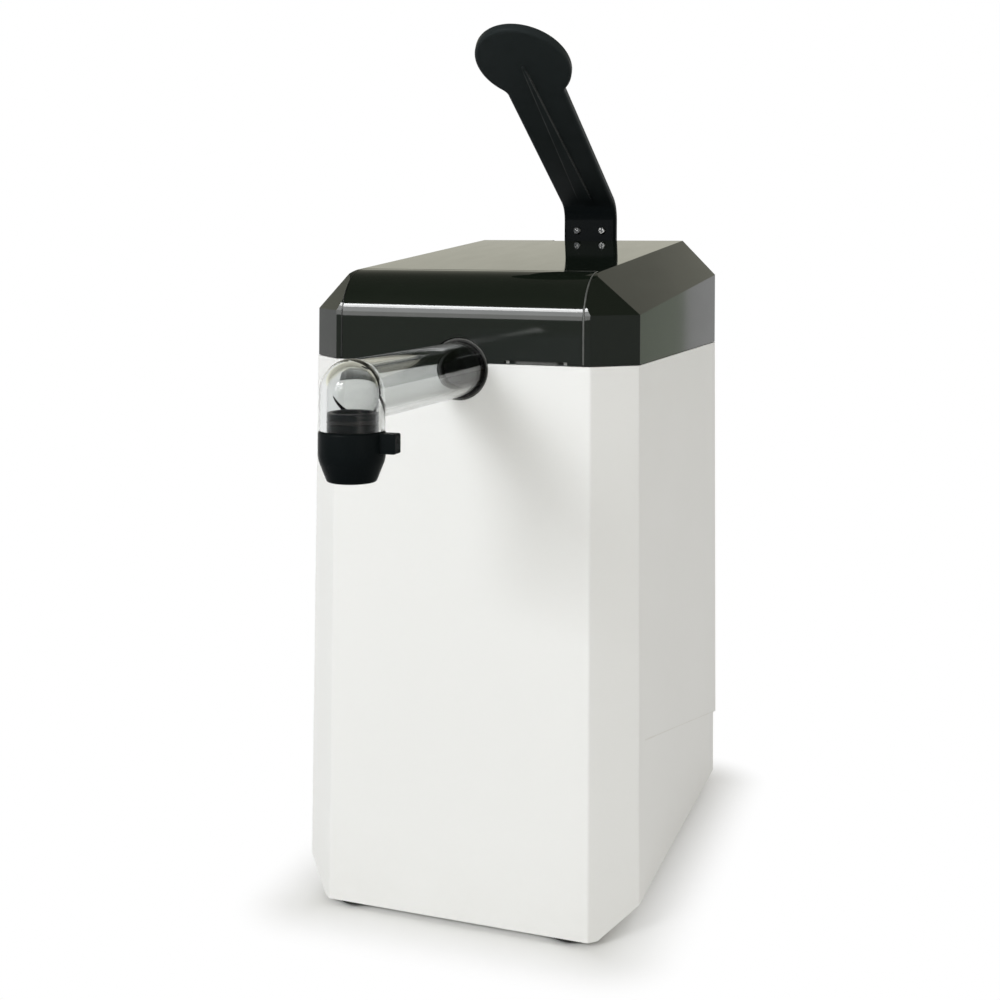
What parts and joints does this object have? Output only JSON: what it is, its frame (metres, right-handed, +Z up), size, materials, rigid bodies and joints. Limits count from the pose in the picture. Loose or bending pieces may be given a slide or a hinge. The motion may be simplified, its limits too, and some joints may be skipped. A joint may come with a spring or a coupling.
{
  "type": "lever condiment dispenser",
  "caption": "Free-standing lever-pump condiment dispenser: white eight-sided housing, hinged dark lid, black press handle, clear spout and twist nozzle.",
  "frame": {"origin": "on the table, level with the underside of the feet, under the middle of the whole outline", "axes": "+Z up, -Y towards the spout, +X to the right as seen from the front"},
  "size_m": [0.1928, 0.4098, 0.4955],
  "materials": {
    "white_shell": "moulded satin",
    "dark_lid": "semi-gloss",
    "black_plastic": "fine satin",
    "clear_plastic": "clear polished",
    "pump_plastic": "moulded",
    "soft_rubber": "matte",
    "stainless": "brushed",
    "cast_alloy": "as cast"
  },
  "bodies": {
    "housing": {"housing_shell": "white_shell", "rubber_feet": "soft_rubber", "pump_deck": "stainless", "deck_screws": "stainless", "pump_body": "pump_plastic", "cylinder_cap": "pump_plastic", "pump_screws": "stainless", "inlet_valve": "soft_rubber", "outlet_valve": "soft_rubber", "suction_tube": "soft_rubber", "spout_tube": "clear_plastic", "spout_gasket": "soft_rubber", "spout_nut": "black_plastic", "spout_grommet": "soft_rubber", "hinge_pins": "stainless", "return_spring": "stainless"},
    "lid": {"lid_shell": "dark_lid", "lid_front_panel": "dark_lid", "lever_bracket": "stainless", "bracket_screws": "stainless", "pivot_bushes": "pump_plastic"},
    "lever": {"lever_arm": "cast_alloy", "pivot_pin": "stainless", "pivot_clips": "stainless", "pusher_pad": "pump_plastic", "handle": "black_plastic", "handle_screws": "stainless"},
    "piston": {"piston_rod": "stainless", "piston_head": "pump_plastic", "piston_seals": "soft_rubber", "push_button": "pump_plastic"},
    "nozzle": {"nozzle_cap": "black_plastic", "nozzle_seal": "soft_rubber", "drip_valve": "soft_rubber"}
  },
  "joints": [
    {"name": "lid_hinge", "type": "hinge", "parent": "housing", "child": "lid", "pos_m": [0, 0.1994, 0.3015], "axis": [-1, 0, 0], "range_deg": [0, 100]},
    {"name": "lever_pivot", "type": "hinge", "parent": "lid", "child": "lever", "pos_m": [0, 0.1744, 0.324], "axis": [1, 0, 0], "range_deg": [0, 30]},
    {"name": "piston_slide", "type": "slide", "parent": "housing", "child": "piston", "axis": [0, 0, -1], "range_m": [0, 0.0405], "stiffness_N_per_m": 500, "springref_m": -0.03, "deforming": ["return_spring"]},
    {"name": "nozzle_twist", "type": "hinge", "parent": "housing", "child": "nozzle", "pos_m": [0, -0.1896, 0.27], "axis": [0, 0, 1], "range_deg": [0, 60]}
  ],
  "couplings": [
    {"joint": "piston_slide", "follows": "lever_pivot", "m_per_rad": 0.077112}
  ]
}
